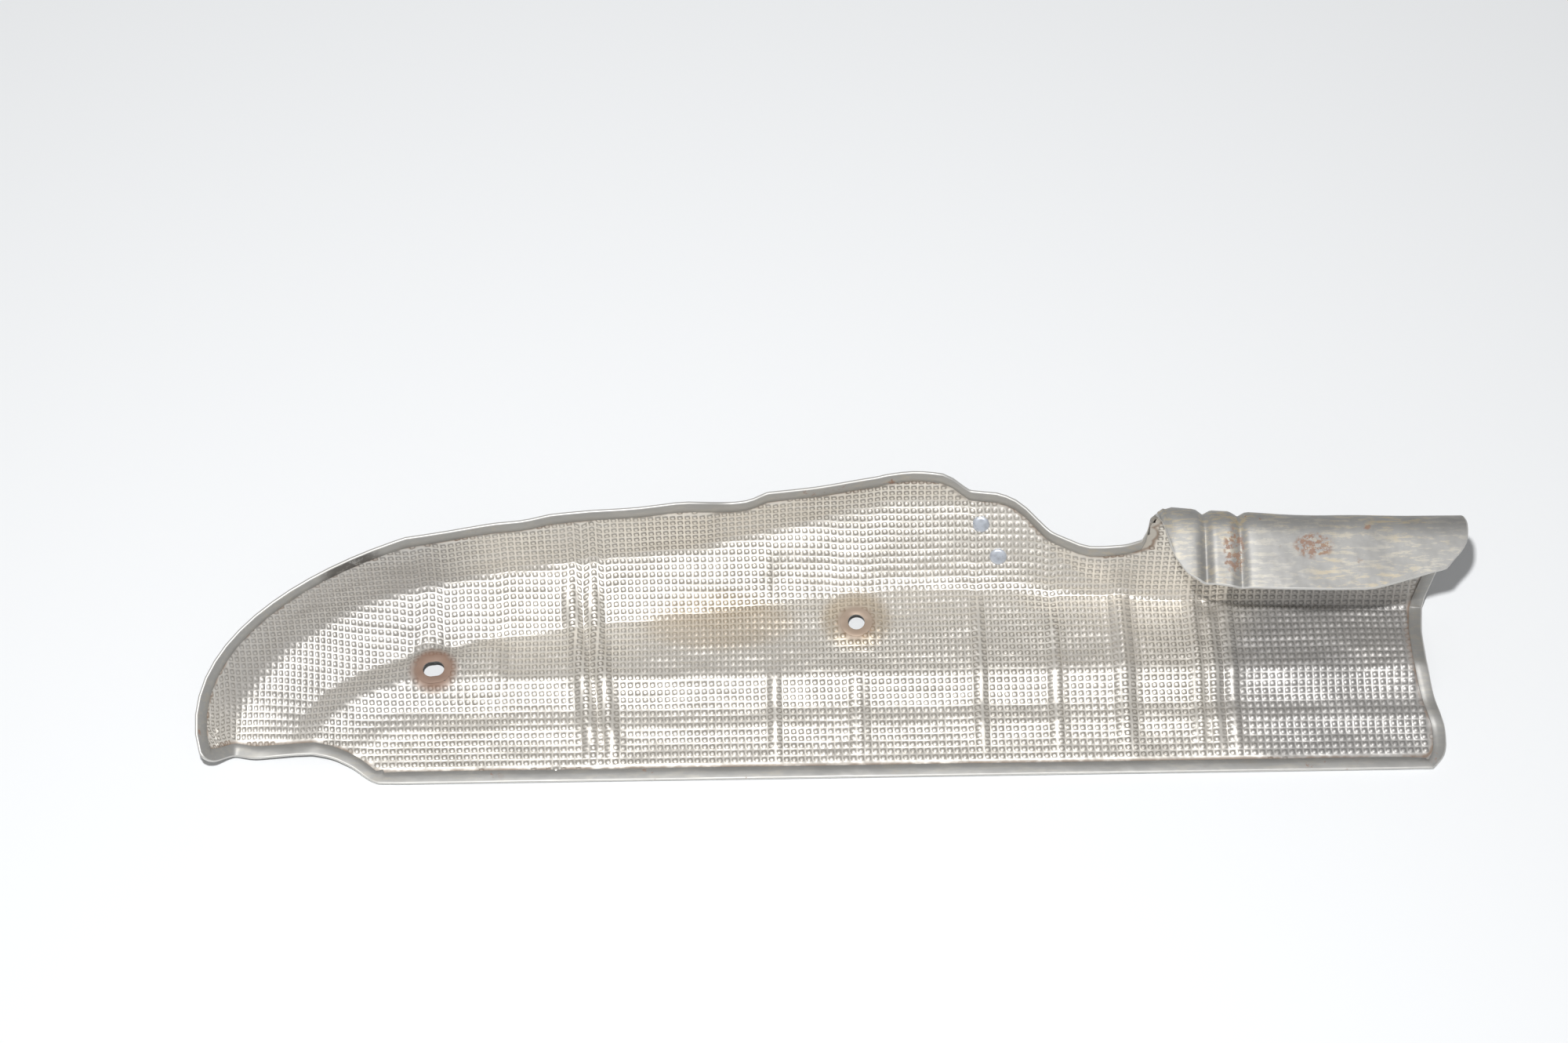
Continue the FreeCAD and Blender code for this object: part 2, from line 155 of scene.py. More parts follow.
def section(x):
    floor_end = along_line(FLOOR_END_Y, x)
    step_y, step_z = STEP_LINES[-1]
    points = list(STEP_LINES)
    points += [(step_y + s * (floor_end - step_y), step_z * (1 - s)) for s in FLOOR_SHARES]
    rise = math.radians(along_line(SHOULDER_ANGLE, x))
    run = along_line(SHOULDER_LENGTH, x)
    points += [(floor_end + s * run * math.cos(rise), s * run * math.sin(rise)) for s in SHOULDER_SHARES]
    foot = (floor_end + run * math.cos(rise), run * math.sin(rise))
    points += [wall_point(*foot, s * along_line(RIM_LENGTH, x)) for s in WALL_SHARES]
    return np.array(points), spans_of(np.array(points))


def normals_of(net):
    normal = np.cross(np.gradient(net, axis=0), np.gradient(net, axis=1))
    return normal / np.linalg.norm(normal, axis=2, keepdims=True)


def fan_column(t):
    # One column of the left end, on curves from the notched edge at 0 to the first section at 1.
    points, lengths = section(FAN_X)
    notch = np.array(NOTCH)
    spans = spans_of(notch)
    share = lengths / lengths[-1] * spans[-1]
    start = np.stack([np.interp(share, spans, notch[:, k]) for k in range(3)], axis=1)
    first = len(points) - len(WALL_SHARES)
    up = np.concatenate([np.zeros(first), WALL_SHARES])
    droop = FLOOR_DROOP * np.minimum(lengths / lengths[first], 1) + WALL_DROOP * up
    end = np.column_stack([np.full(len(points), FAN_X), points])
    lift = end - start
    near = start + np.column_stack([-WALL_SWEEP * up, NEAR_LIFT[0] * lift[:, 1], NEAR_LIFT[1] * lift[:, 2]])
    far_x = FAN_X + FAR_REACH * (start[:, 0] - FAN_X)
    far = np.column_stack([far_x, end[:, 1] - droop, start[:, 2] + FAR_LIFT * lift[:, 2]])
    return (1 - t) ** 3 * start + 3 * t * (1 - t) ** 2 * near + 3 * t * t * (1 - t) * far + t ** 3 * end


def swell_at(x, lengths):
    across = [x / wave for wave in SWELL_ACROSS]
    along = [lengths / wave for wave in SWELL_ALONG]
    waves = np.sin(across[0] + along[0]) * np.sin(along[1] - across[1])
    waves = waves + SWELL_SLANT * np.sin(across[2] - along[2])
    return SWELL * waves * np.clip(lengths / SWELL_START, 0, 1)


def pad_height(x, y):
    height = 0.0
    for pad_x, pad_y, half_x, half_y, rise, soft in PADS:
        across = fade(max(abs(x - pad_x) - half_x * (1 - soft), 0), half_x * soft)
        height += rise * across * fade(max(abs(y - pad_y) - half_y * (1 - soft), 0), half_y * soft)
    return height


def rib_height(x, length):
    height = 0.0
    for rib_x, width, rise, start, end, lean in RIBS:
        ends = min(max((length - start) / RIB_FADE, 0), 1) * min(max((end - length) / RIB_FADE, 0), 1)
        height += RIB_GAIN * rise * max(1 - abs(x - rib_x) / (width / 2), 0) * ends
    return height


def rounded(grid, axis):
    # Corner cutting along one axis: rounds every bend and keeps the two ends.
    grid = np.moveaxis(grid, axis, 0)
    cut = np.empty((2 * len(grid) - 2, *grid.shape[1:]))
    cut[0::2] = (1 - CORNER_CUT) * grid[:-1] + CORNER_CUT * grid[1:]
    cut[1::2] = CORNER_CUT * grid[:-1] + (1 - CORNER_CUT) * grid[1:]
    return np.moveaxis(np.concatenate([grid[:1], cut, grid[-1:]]), 0, axis)


places = [(x, 0) for x in PLAIN_COLUMNS + SEAT_COLUMNS]
for rib_x, width, rise, start, end, lean in RIBS:
    places += [(rib_x + step * width, lean) for step in RIB_STEPS]
held = [(FAN_X, 0)]
for place in sorted(places):
    if place[0] - held[-1][0] > COLUMN_GAP:
        held.append(place)
net = [fan_column(k / FAN_COLUMNS) for k in range(FAN_COLUMNS)]
heights = [np.zeros(len(net[0]))] * FAN_COLUMNS
for x, lean in held:
    points, lengths = section(x)
    column = np.column_stack([np.full(len(points), x), points])
    high = swell_at(x, lengths)
    for j, (y, z) in enumerate(points):
        high[j] += rib_height(x, lengths[j]) + pad_height(x, y)
        for seat_x, seat_y, level, rise in SEATS:
            hold = fade(max(math.hypot(x - seat_x, y - seat_y) - SEAT_RADIUS, 0), SEAT_SKIRT)
            column[j, 2] += (level + rise - column[j, 2]) * hold
            high[j] *= 1 - hold
    pull = max((x - END_PULL_X) / (LAST_X - END_PULL_X), 0) ** 2
    column[:, 0] += lean * (0.5 - points[:, 0] / along_line(FLOOR_END_Y, x))
    column[:, 0] += (along_line(END_X, lengths) - LAST_X) * pull
    net.append(column)
    heights.append(high)
net = np.array(net)
net = net + normals_of(net) * np.array(heights)[:, :, None]
net = net + np.array([0, -HOLE_Y, BACK_THICKNESS - GROUND_Z])
coarse = rounded(rounded(rounded(net, 0), 1), 1)

# The left tip is blunt: its corner is drawn in along the diagonal.
tip_way = coarse[TIP_STEP, -1 - TIP_STEP] - coarse[0, -1]
tip_gap = np.clip(np.linalg.norm(coarse - coarse[0, -1], axis=2, keepdims=True) / TIP_REACH, 0, 1)
coarse = coarse + tip_way / np.linalg.norm(tip_way) * TIP_PULL * (1 - tip_gap) ** 2
fine = rounded(rounded(coarse, 0), 1)

# One round hole and one short slot for the screws that hold the shield, punched through both sheets
# in the middle of the raised flat seats. The slot lies in line with the round hole.
HOLE_RADIUS = 3.4
SLOT_RADIUS = 3.25
SLOT_HALF = 1.05
RING_POINTS = 48
seat_places = [(x, y - HOLE_Y, level + rise + BACK_THICKNESS - GROUND_Z) for x, y, level, rise in SEATS]
HOLES = [(seat_places[0], HOLE_RADIUS, 0.0), (seat_places[1], SLOT_RADIUS, SLOT_HALF)]


def hole_distance(points):
    # Distance from each point to the nearest hole's edge, seen from above; less than 0 inside.
    gaps = []
    for centre, radius, half in HOLES:
        offset = points[:, :2] - np.array(centre[:2])
        gaps.append(np.hypot(np.maximum(np.abs(offset[:, 0]) - half, 0), offset[:, 1]) - radius)
    return np.min(gaps, axis=0)


def hole_ring(hole, profile, start):
    # Rings of points round a hole, for steps of (distance past its edge, height), and their faces.
    centre, radius, half = hole
    turn = np.linspace(0, 2 * math.pi, RING_POINTS, endpoint=False)
    slant = math.atan2(-seat_places[1][1], -seat_places[1][0])
    along = np.array([math.cos(slant), math.sin(slant), 0])
    aside = np.array([-math.sin(slant), math.cos(slant), 0])
    points = []
    for past, height in profile:
        shift = (radius + past) * np.cos(turn) + half * np.sign(np.cos(turn))
        ring = np.outer(shift, along) + np.outer((radius + past) * np.sin(turn), aside) + centre
        points += list(ring + np.array([0, 0, height]))
    faces = []
    for k in range(len(profile) - 1):
        low = start + k * RING_POINTS
        high = low + RING_POINTS
        for n in range(RING_POINTS):
            m = (n + 1) % RING_POINTS
            faces.append((low + n, low + m, high + m, high + n))
    return points, faces


# The hem and the turned edges of the holes in millimetres, then the places of rust and stains in metres.
HEM_WIDTH = 4.6
HEM_LEVEL = 0.95
HEM_SHARES = (0.5, 0.96)
HEM_LIP = (0.2, 0.45)
FOLD_ANGLES = (-90, -55, -20, 20, 55, 90)
# The outer rings of the fold that take a painted highlight, a light line along the whole rim.
FOLD_HIGHLIGHT_RINGS = 5
HOLE_MARGIN = 0.3
BACK_COLLAR = [(0.0, 0.35), (0.0, -0.5), (0.3, -0.6), (3.4, -0.58)]
FLAP_RUST = [(0.1495, 0.003, 0.005, 0.011), (0.181, 0.004, 0.009, 0.006)]
FLAP_RUST_CORE = 0.2
FLECK_MOST = 0.6
RIM_STAIN = (-0.201, 0.005, 0.017, 0.016)
STREAK = (0.3, 1.3, 1.0)
DULL_GREY = (0.33, 0.325, 0.315)
PALE_GREY = (0.43, 0.425, 0.41)
FLAKE_CREAM = (0.62, 0.58, 0.49)
STAIN_TAN = (0.54, 0.45, 0.30)
HEM_GREY = (0.44, 0.435, 0.42)
STAIN_BLACK = (0.12, 0.11, 0.10)
# Colour of the painted highlight along the fold.
FOLD_PAINTED_HIGHLIGHT = (0.78, 0.77, 0.74)
SHEET_RUST = (0.29, 0.11, 0.035)


def inset(line, distance):
    # Place along a line of points, as a fractional count, at a distance from its start.
    return np.interp(distance, spans_of(line), np.arange(len(line)))


def at_place(grid, u, v):
    i = min(int(u), columns - 2)
    j = min(int(v), lines - 2)
    s, t = u - i, v - j
    low = grid[i, j] * (1 - s) + grid[i + 1, j] * s
    return low * (1 - t) + (grid[i, j + 1] * (1 - s) + grid[i + 1, j + 1] * s) * t


def mesh_object(name, points, faces, values):
    # A smooth mesh in metres from points in millimetres, with one number per point for each value.
    mesh = bpy.data.meshes.new(name)
    mesh.from_pydata((np.asarray(points) * 0.001).tolist(), [], faces)
    for key, numbers in values.items():
        layer = mesh.attributes.new(key, "FLOAT", "POINT")
        layer.data.foreach_set("value", np.asarray(numbers, dtype=np.float32))
    mesh.polygons.foreach_set("use_smooth", [True] * len(mesh.polygons))
    piece = bpy.data.objects.new(name, mesh)
    bpy.context.scene.collection.objects.link(piece)
    return piece


normals = normals_of(coarse)
columns, lines = coarse.shape[:2]
sheet_points = list((coarse - normals * BACK_THICKNESS).reshape(-1, 3))
sheet_faces = []
solid = (hole_distance(coarse.reshape(-1, 3)) > HOLE_MARGIN).reshape(columns, lines)
for i in range(columns - 1):
    for j in range(lines - 1):
        a = i * lines + j
        if solid[i:i + 2, j:j + 2].all():
            sheet_faces.append((a, a + 1, a + lines + 1, a + lines))

# The hem: rings from the sheet's edge round the fold, over the foil and down to its inner lip.
loop = [(i, 0) for i in range(columns - 1)] + [(columns - 1, j) for j in range(lines - 1)]
loop += [(i, lines - 1) for i in range(columns - 1, 0, -1)] + [(0, j) for j in range(lines - 1, 0, -1)]
left = [inset(coarse[:, j], HEM_WIDTH) for j in range(lines)]
right = [columns - 1 - inset(coarse[::-1, j], HEM_WIDTH) for j in range(lines)]
near = [inset(coarse[i], HEM_WIDTH) for i in range(columns)]
far = [lines - 1 - inset(coarse[i, ::-1], HEM_WIDTH) for i in range(columns)]
inner_places = [(min(max(i, left[j]), right[j]), min(max(j, near[i]), far[i])) for i, j in loop]
outline = np.array([coarse[i, j] for i, j in loop])
out_normal = np.array([normals[i, j] for i, j in loop])
inner = np.array([at_place(coarse, u, v) for u, v in inner_places])
inner_normal = np.array([at_place(normals, u, v) for u, v in inner_places])
outwards = outline - inner
outwards -= out_normal * np.sum(outwards * out_normal, axis=1, keepdims=True)
outwards /= np.maximum(np.linalg.norm(outwards, axis=1, keepdims=True), 0.001)
middle = 0.5 * (HEM_LEVEL - BACK_THICKNESS)
bulge = 0.5 * (HEM_LEVEL + BACK_THICKNESS)
rings = []
for angle in FOLD_ANGLES:
    turn = math.radians(angle)
    rings.append(outline + outwards * bulge * math.cos(turn) + out_normal * (middle + bulge * math.sin(turn)))
for share in HEM_SHARES:
    place = outline + (inner - outline) * share
    rings.append(place + (out_normal + (inner_normal - out_normal) * share) * HEM_LEVEL)
for drop in HEM_LIP:
    rings.append(inner + inner_normal * (HEM_LEVEL - drop))
hem_value = [0.0] * len(sheet_points)
fold_highlight_value = [0.0] * len(sheet_points)
for k, ring in enumerate(rings):
    start = len(sheet_points)
    sheet_points += list(ring)
    hem_value += [1.0] * len(ring)
    # The first rings round the fold get 1 on the fold value, for the painted highlight.
    fold_highlight_value += [1.0 if k < FOLD_HIGHLIGHT_RINGS else 0.0] * len(ring)
    if k:
        for n in range(len(ring)):
            m = (n + 1) % len(ring)
            sheet_faces.append((start - len(ring) + n, start + n, start + m, start - len(ring) + m))
for hole in HOLES:
    points, faces = hole_ring(hole, BACK_COLLAR, len(sheet_points))
    sheet_points += points
    sheet_faces += faces
    hem_value += [0.0] * len(points)
    fold_highlight_value += [0.0] * len(points)
back_sheet = mesh_object("back_sheet_visual", sheet_points, sheet_faces, {"hem": hem_value, "fold": fold_highlight_value})


class Socket:
    # One output of a shader node: arithmetic on it adds Math nodes, and node adds any other node.

    def __init__(self, tree, output):
        self.tree = tree
        self.output = output

    def node(self, kind, inputs, result=0, **settings):
        made = self.tree.nodes.new(kind)
        for name, value in settings.items():
            setattr(made, name, value)
        for key, value in inputs.items():
            if isinstance(value, Socket):
                self.tree.links.new(value.output, made.inputs[key])
            else:
                made.inputs[key].default_value = value
        return Socket(self.tree, made.outputs[result]) if made.outputs else None

    def __add__(self, other):
        return self.node("ShaderNodeMath", {0: self, 1: other}, operation="ADD")

    def __sub__(self, other):
        return self.node("ShaderNodeMath", {0: self, 1: other}, operation="SUBTRACT")

    def __rsub__(self, other):
        return self.node("ShaderNodeMath", {0: other, 1: self}, operation="SUBTRACT")

    def __mul__(self, other):
        return self.node("ShaderNodeMath", {0: self, 1: other}, operation="MULTIPLY")

    def __truediv__(self, other):
        return self.node("ShaderNodeMath", {0: self, 1: other}, operation="DIVIDE")

    __radd__ = __add__
    __rmul__ = __mul__


def material(name):
    # A material with no surface yet, and the place on the piece that its looks are worked out from.
    made = bpy.data.materials.new(name)
    made.use_nodes = True
    made.node_tree.nodes.clear()
    return made, Socket(made.node_tree, None).node("ShaderNodeNewGeometry", {}, "Position")


def surface(spot, looks):
    shader = spot.node("ShaderNodeBsdfPrincipled", looks)
    spot.node("ShaderNodeOutputMaterial", {"Surface": shader})


def ramp(value, low, high):
    # 0 at low and 1 at high, smooth between; low may be the larger.
    ends = {"Value": value, "From Min": low, "From Max": high}
    return value.node("ShaderNodeMapRange", ends, interpolation_type="SMOOTHSTEP")


def noise(spot, scale, detail=3.0, roughness=0.55):
    grain = {"Vector": spot, "Scale": scale, "Detail": detail, "Roughness": roughness}
    return spot.node("ShaderNodeTexNoise", grain)


def stretch(spot, amounts):
    return spot.node("ShaderNodeVectorMath", {0: spot, 1: amounts}, operation="MULTIPLY")


def mix(share, low, high):
    # Colour low where the share is 0 and high where it is 1.
    low, high = [tint if isinstance(tint, Socket) else (*tint, 1.0) for tint in (low, high)]
    return share.node("ShaderNodeMix", {0: share, 6: low, 7: high}, 2, data_type="RGBA")


def patch(spot, x, y, reach_x, reach_y, core=0.3):
    # 1 round a place, in metres, fading to 0 at its reach.
    aside = spot.node("ShaderNodeSeparateXYZ", {"Vector": spot}, "X") - x
    across = spot.node("ShaderNodeSeparateXYZ", {"Vector": spot}, "Y") - y
    return ramp(aside * aside / reach_x ** 2 + across * across / reach_y ** 2, 1.0, core)


paint, spot = material("weathered_sheet")
blotch = noise(spot, 38.0, 5.0, 0.6)
stain = ramp(noise(spot, 16.0, 4.0, 0.6), 0.5, 0.66)
speck = noise(spot, 420.0, 4.0, 0.7)
flake = ramp(noise(stretch(spot, STREAK), 430.0, 5.0, 0.7), 0.48, 0.6)
rust_spots = sum(patch(spot, *place, FLAP_RUST_CORE) for place in FLAP_RUST)
rust_flecks = ramp(noise(spot, 150.0, 4.0, 0.65), 0.62, 0.72) * ramp(noise(spot, 30.0), 0.5, 0.62)
rust_all = rust_flecks + rust_spots * ramp(speck, 0.44, 0.62)
fleck = spot.node("ShaderNodeMath", {0: rust_all, 1: FLECK_MOST}, operation="MINIMUM")
hem = spot.node("ShaderNodeAttribute", {}, "Fac", attribute_name="hem")
# The fold attribute marks where the painted highlight goes.
fold = spot.node("ShaderNodeAttribute", {}, "Fac", attribute_name="fold")
grey = mix(ramp(blotch, 0.3, 0.7), DULL_GREY, PALE_GREY)
flaked = mix(flake * (0.25 + 0.5 * ramp(blotch, 0.4, 0.65)), grey, FLAKE_CREAM)
stained = mix(stain * flake * 0.8, flaked, STAIN_TAN)
hemmed = mix(hem * 0.7, stained, HEM_GREY)
blackened = mix(patch(spot, *RIM_STAIN) * hem * ramp(speck, 0.3, 0.5) * 0.85, hemmed, STAIN_BLACK)
# Painted highlight: a light line along the outer fold of the hem.
fold_highlighted = mix(fold * 0.8, blackened, FOLD_PAINTED_HIGHLIGHT)
dents = {"Height": noise(spot, 55.0), "Strength": 0.25, "Distance": 0.002}
surface(spot, {
    "Base Color": mix(fleck, fold_highlighted, SHEET_RUST),
    "Roughness": 0.42 + blotch * 0.25 + fleck * 0.2,
    "Metallic": 0.5 - fleck * 0.45 + hem * 0.2,
    "Normal": spot.node("ShaderNodeBump", dents),
})
back_sheet.data.materials.append(paint)
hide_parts("back_sheet")
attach(back_sheet, "root")


# Front foil: thin aluminium rolled into rows of round dimples before pressing, so the rows follow the
# back sheet's form. It is caught under the hem and tinted by heat round the holes, and each dimple has
# painted shade round its foot, mixed with dirt. Sizes are in millimetres, and places of tints in metres,
# each with its strength.
PITCH = 3.0
DIMPLE = 0.9
RING_SIDE = 0.64
RING_CORNER = 0.453
RING_HEIGHT = 0.34
FOIL_LEVEL = 0.4
FLAT_EDGE = 5.0
EDGE_FADE = 1.2
FLAT_HOLE = 3.0
HOLE_FADE = 1.5
HOLE_ROOM = 1.4
EDGE_ROOM = 0.3
EDGE_MOST = 30.0
CALM_LEAST = 0.05
# How free of painted shade and dirt the flat foil is, least near the hem and the holes, and the hole collars.
FLAT_CLEAN_UNSHADED = (0.25, 0.5)
COLLAR_CLEAN_UNSHADED = 0.5
HALF_ROWS = 140
FOIL_COLLAR = [(3.1, 0.36), (2.6, 0.48), (0.35, 0.48), (0.0, 0.3)]
FIRST_SLICE = -274.0
LAST_SLICE = 242.0
TIP_RUN = 0.5
SPACING = [(-262, 1.5), (-253, 2.05), (-240, 2.4), (-215, 2.35), (-190, 3.0)]
AROUND = [(0, 0), (1, 0), (2, 0), (2, 1), (2, 2), (1, 2), (0, 2), (0, 1)]
QUARTERS = [(0, 0), (1, 0), (1, 1), (0, 1)]
GOLD_PATCHES = [(-0.056, 0.002, 0.036, 0.016, 0.28), (0.0, 0.002, 0.017, 0.017, 0.35)]
BROWN_RINGS = [(-0.1724, -0.0194, 0.0115, 0.0115, 0.85), (0.0, 0.0, 0.0095, 0.0095, 0.55)]
# Two darker grey patches, over the right end and over the left lobe.
DARK_PATCH_RIGHT = (0.198, -0.028, 0.062, 0.062)
DARK_PATCH_LEFT = (-0.215, 0.0, 0.075, 0.06)
WAVE_STRETCH = (0.45, 1.0, 1.0)
DULL_SILVER = (0.78, 0.745, 0.69)
BRIGHT_SILVER = (0.90, 0.865, 0.80)
# Colour of the painted shade, mixed with dirt, round the dimples.
SHADE_AND_GRIME = (0.31, 0.285, 0.25)
DARK_PATCH_GREY = (0.36, 0.36, 0.37)
GOLD = (0.48, 0.33, 0.15)
BROWN = (0.23, 0.105, 0.05)
FOIL_RUST = (0.19, 0.10, 0.045)

# The form is sliced across, half a pitch apart and closer where the left end turns down.
stops = [LAST_SLICE]
while stops[-1] > FIRST_SLICE:
    stops.append(stops[-1] - along_line(SPACING, stops[-1]) / 2)
slices = np.array(stops[::-1])
fine_normals = normals_of(fine)
cut = np.full((len(slices), fine.shape[1], 6), np.nan)
edge_at = []
for j in range(fine.shape[1]):
    across = fine[:, j, 0].copy()
    tip = int(np.argmin(across))
    back_run = np.cumsum(np.linalg.norm(np.diff(fine[:tip + 1, j], axis=0), axis=1)[::-1])[::-1]
    across[:tip] = across[tip] - TIP_RUN * back_run
    edge_at.append(across[0])
    inside = (slices >= across[0]) & (slices <= across[-1])
    for k in range(3):
        cut[inside, j, k] = np.interp(slices[inside], across, fine[:, j, k])
        cut[inside, j, k + 3] = np.interp(slices[inside], across, fine_normals[:, j, k])

# Points half a pitch apart along each slice, with their normals, and how much of a dimple each takes.
foil_points = []
foil_normals = []
foil_edge = []
foil_calm = []
number = np.full((len(slices), HALF_ROWS), -1)
for i in range(len(slices)):
    found = np.flatnonzero(~np.isnan(cut[i, :, 0]))
    line = cut[i][found]
    if len(line) < 4:
        continue
    first = found[0]
    if first and edge_at[first] <= slices[i] < edge_at[first - 1]:
        share = (slices[i] - edge_at[first]) / (edge_at[first - 1] - edge_at[first])
        rim = [np.concatenate([fine[0, j], fine_normals[0, j]]) for j in (first, first - 1)]
        line = np.concatenate([[rim[0] + (rim[1] - rim[0]) * share], line])
        found = np.concatenate([[first - 1], found])
    run = spans_of(line[:, :3]) + line[0, 1] + HOLE_Y
    low = math.ceil((run[0] + EDGE_ROOM) * 2 / PITCH)
    count = np.arange(low, math.floor((run[-1] - EDGE_ROOM) * 2 / PITCH) + 1)
    if len(count) < 2:
        continue
    place = count * PITCH / 2
    point = np.stack([np.interp(place, run, line[:, k]) for k in range(6)], axis=1)
    margin = np.min(np.linalg.norm(point[:, None, :3] - outline[None], axis=2), axis=1)
    gap = hole_distance(point)
    step = np.clip(np.searchsorted(run, place) - 1, 0, len(found) - 2)
    kept = (gap > HOLE_ROOM) & (found[step + 1] - found[step] == 1)
    calm = np.clip((margin - FLAT_EDGE) / EDGE_FADE, 0, 1) * np.clip((gap - FLAT_HOLE) / HOLE_FADE, 0, 1)
    number[i, count[kept]] = len(foil_points) + np.arange(kept.sum())
    foil_points += list(point[kept, :3])
    foil_normals += list(point[kept, 3:])
    foil_edge += list(np.minimum(margin, EDGE_MOST)[kept])
    foil_calm += list(calm[kept])
foil_normals = [normal / np.linalg.norm(normal) for normal in foil_normals]
foil_points = [point + normal * FOIL_LEVEL for point, normal in zip(foil_points, foil_normals)]
foil_clean_unshaded = [FLAT_CLEAN_UNSHADED[0] + FLAT_CLEAN_UNSHADED[1] * calm for calm in foil_calm]

# Each square of four cells becomes a dimple: a ring at its foot and a raised middle. Edges stay flat.
# The foot ring is marked for the darkest painted shade with dirt, and the raised middle for none.
foil_faces = []
for i in range(0, len(slices) - 2, 2):
    for j in range(0, number.shape[1] - 2, 2):
        middle = int(number[i + 1, j + 1])
        border = [int(number[i + u, j + v]) for u, v in AROUND]
        if middle < 0 or min(border) < 0 or foil_calm[middle] < CALM_LEAST:
            for u, v in QUARTERS:
                corners = [int(number[i + u + s, j + v + t]) for s, t in QUARTERS]
                if min(corners) >= 0:
                    foil_faces.append(tuple(corners))
            continue
        start = len(foil_points)
        lift = foil_normals[middle] * DIMPLE * foil_calm[middle]
        for k, outer in enumerate(border):
            reach = RING_CORNER if k % 2 == 0 else RING_SIDE
            foot = foil_points[middle] + (foil_points[outer] - foil_points[middle]) * reach
            foil_points.append(foot + lift * RING_HEIGHT)
            foil_edge.append(foil_edge[middle])
            foil_clean_unshaded.append(0.0)
        foil_points[middle] = foil_points[middle] + lift
        foil_clean_unshaded[middle] = 1.0
        for k in range(8):
            n = (k + 1) % 8
            foil_faces.append((border[k], border[n], start + n, start + k))
            foil_faces.append((start + k, start + n, middle))
for hole in HOLES:
    points, faces = hole_ring(hole, FOIL_COLLAR, len(foil_points))
    foil_points += points
    foil_faces += faces
    foil_edge += [EDGE_MOST] * len(points)
    foil_clean_unshaded += [COLLAR_CLEAN_UNSHADED] * len(points)
foil = mesh_object("front_foil_visual", foil_points, foil_faces, {"edge": foil_edge, "clean_unshaded": foil_clean_unshaded})
paint, spot = material("embossed_foil")
edge = spot.node("ShaderNodeAttribute", {}, "Fac", attribute_name="edge")
clean_unshaded = spot.node("ShaderNodeAttribute", {}, "Fac", attribute_name="clean_unshaded")
cloud = noise(spot, 22.0, 4.0, 0.6)
# Painted shade mixed with dirt: dark round the foot of each dimple, and less so on the flats near the hem and
# the holes, varied by the cloud noise.
dimple_shade_and_grime = (1 - ramp(clean_unshaded, 0.0, 0.55)) * (0.55 + 0.4 * ramp(cloud, 0.35, 0.65))
rust = ramp(edge, 6.4, 4.8) * ramp(edge, 3.6, 4.6) * ramp(noise(spot, 60.0, 4.0, 0.6), 0.36, 0.56)
gold = sum(patch(spot, x, y, reach_x, reach_y) * much for x, y, reach_x, reach_y, much in GOLD_PATCHES)
ring = sum(patch(spot, x, y, reach_x, reach_y) * much for x, y, reach_x, reach_y, much in BROWN_RINGS)
# Darker grey over the right end, mottled by the cloud noise, and over the left lobe.
dark_patches = patch(spot, *DARK_PATCH_RIGHT) * (0.35 + 0.5 * cloud) + patch(spot, *DARK_PATCH_LEFT) * 0.35
silver = mix(ramp(cloud, 0.3, 0.7), DULL_SILVER, BRIGHT_SILVER)
shaded_dirty = mix(dimple_shade_and_grime, silver, SHADE_AND_GRIME)
patch_darkened = mix(dark_patches, shaded_dirty, DARK_PATCH_GREY)
tinted = mix(gold * (0.5 + cloud), patch_darkened, GOLD)
browned = mix(ring * (0.6 + cloud * 0.7), tinted, BROWN)
waves = {"Height": noise(stretch(spot, WAVE_STRETCH), 85.0, 2.0, 0.5), "Strength": 0.55, "Distance": 0.0035}
surface(spot, {
    "Base Color": mix(rust * 0.7, browned, FOIL_RUST),
    "Roughness": 0.42 + cloud * 0.12 + dimple_shade_and_grime * 0.1 + rust * 0.3 + ring * 0.2,
    "Metallic": 0.68 - rust * 0.5 - ring * 0.5,
    "Normal": spot.node("ShaderNodeBump", waves),
})
foil.data.materials.append(paint)
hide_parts("front_foil")
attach(foil, "root")


# Rivets: two flat-headed steel rivets that clamp both sheets on the lobe, each made in one piece with
# a slightly domed edge, set through a punched hole and closed on the back.
RIVETS = [(52.0, 0.72), (58.5, 0.34)]
HEAD_SIDES = 40
RIVET_PROFILE = [(0.0, 1.35), (2.2, 1.3), (3.1, 1.12), (3.5, 0.75), (3.5, 0.35),
                 (3.5, -0.55), (3.4, -0.95), (2.6, -1.2), (0.0, -1.25)]
FLOOR_LINE = 40
BLUE_STEEL = (0.62, 0.66, 0.73)
WORN_STEEL = (0.47, 0.50, 0.55)
RIVET_ROUGHNESS = 0.38
RIVET_METALLIC = 0.45
paint, spot = material("rivet_steel")
surface(spot, {
    "Base Color": mix(ramp(noise(spot, 400.0), 0.4, 0.7), BLUE_STEEL, WORN_STEEL),
    "Roughness": RIVET_ROUGHNESS,
    "Metallic": RIVET_METALLIC,
})
shoulder = len(STEP_LINES) + len(FLOOR_SHARES)
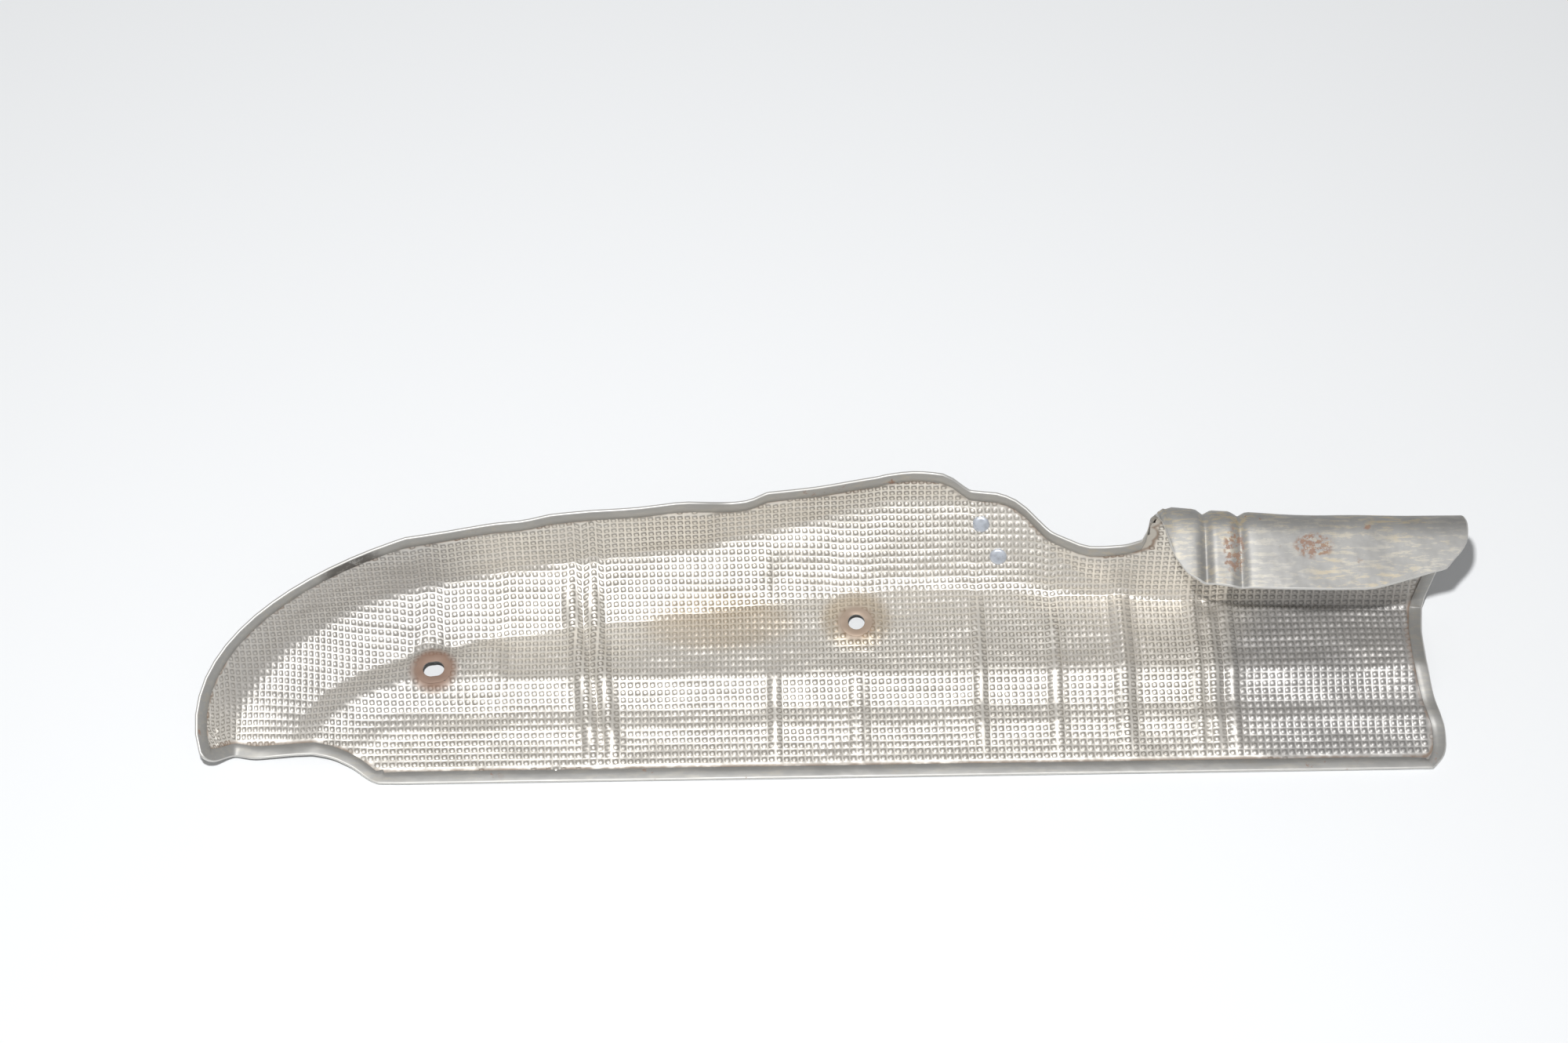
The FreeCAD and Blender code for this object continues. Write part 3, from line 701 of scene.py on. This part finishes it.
for count, (x, share) in enumerate(RIVETS):
    length = section(x)[1][shoulder] + share * along_line(SHOULDER_LENGTH, x)
    near_x = np.argmin(np.abs(fine[:, FLOOR_LINE, 0] - x))
    seat_at = int(np.argmin(np.abs(spans_of(fine[near_x]) - length)))
    foot = fine[near_x, seat_at]
    axis = fine_normals[near_x, seat_at]
    side = np.cross(axis, (1.0, 0.0, 0.0))
    side /= np.linalg.norm(side)
    other = np.cross(axis, side)
    rivet_points = []
    for radius, level in RIVET_PROFILE:
        for k in range(HEAD_SIDES):
            turn = 2 * math.pi * k / HEAD_SIDES
            out = side * math.cos(turn) + other * math.sin(turn)
            rivet_points.append(foot + axis * level + radius * out)
    rivet_faces = []
    for step in range(len(RIVET_PROFILE) - 1):
        low = step * HEAD_SIDES
        high = low + HEAD_SIDES
        for k in range(HEAD_SIDES):
            m = (k + 1) % HEAD_SIDES
            rivet_faces.append((low + k, high + k, high + m, low + m))
    rivet = mesh_object("rivet_visual_%d" % (count + 1), rivet_points, rivet_faces, {})
    rivet.data.materials.append(paint)
    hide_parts("rivets")
    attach(rivet, "root")


# Ground: a plain pale board that the shield lies on, matt and far wider than the picture.
# It is not part of the object.
FLOOR_Z = cad_bounds[0][2] - 0.0002
FLOOR_SIZE = 8.0
FLOOR_WHITE = (0.93, 0.945, 0.96, 1)
FLOOR_ROUGHNESS = 0.9
bpy.ops.mesh.primitive_plane_add(size=FLOOR_SIZE, location=(0, 0, FLOOR_Z))
floor = bpy.context.object
floor.name = "floor"
paint, spot = material("pale_floor")
surface(spot, {"Base Color": FLOOR_WHITE, "Roughness": FLOOR_ROUGHNESS})
floor.data.materials.append(paint)


# Light and camera: the camera looks down on the shield, a small lamp shines from just above it,
# and a soft even sky fills the shadows.
LOOK_DOWN = math.radians(62.0)
TURN = math.radians(0.944)
DISTANCE = 1.5
TARGET = np.array([-0.0288, 0.0505, FLOOR_Z])
LENS = 82.4
SENSOR = 36.0
SKY_STRENGTH = 0.26
FLASH_POWER = 18.6
FLASH_SIZE = 0.05
FLASH_OFFSET = np.array([-0.06, 0.19, 0.10])
FLASH_TILT = math.radians(21.0)
level = math.cos(LOOK_DOWN)
away = np.array([-level * math.sin(TURN), -level * math.cos(TURN), math.sin(LOOK_DOWN)])
world = bpy.data.worlds.new("soft_sky")
bpy.context.scene.world = world
world.use_nodes = True
sky = world.node_tree.nodes["Background"]
sky.inputs["Color"].default_value = (1, 1, 1, 1)
sky.inputs["Strength"].default_value = SKY_STRENGTH
flash = bpy.data.lights.new("flash", "AREA")
flash.energy = FLASH_POWER
flash.size = FLASH_SIZE
lamp = bpy.data.objects.new("flash", flash)
bpy.context.scene.collection.objects.link(lamp)
lamp.location = TARGET + away * DISTANCE + FLASH_OFFSET
lamp.rotation_euler = (FLASH_TILT, 0, 0)
lens = bpy.data.cameras.new("photo")
lens.sensor_width = SENSOR
lens.lens = LENS
camera = bpy.data.objects.new("photo", lens)
bpy.context.scene.collection.objects.link(camera)
camera.location = TARGET + away * DISTANCE
camera.rotation_euler = (math.pi / 2 - LOOK_DOWN, 0, -TURN)
bpy.context.scene.camera = camera
bpy.context.scene.view_settings.view_transform = "Standard"
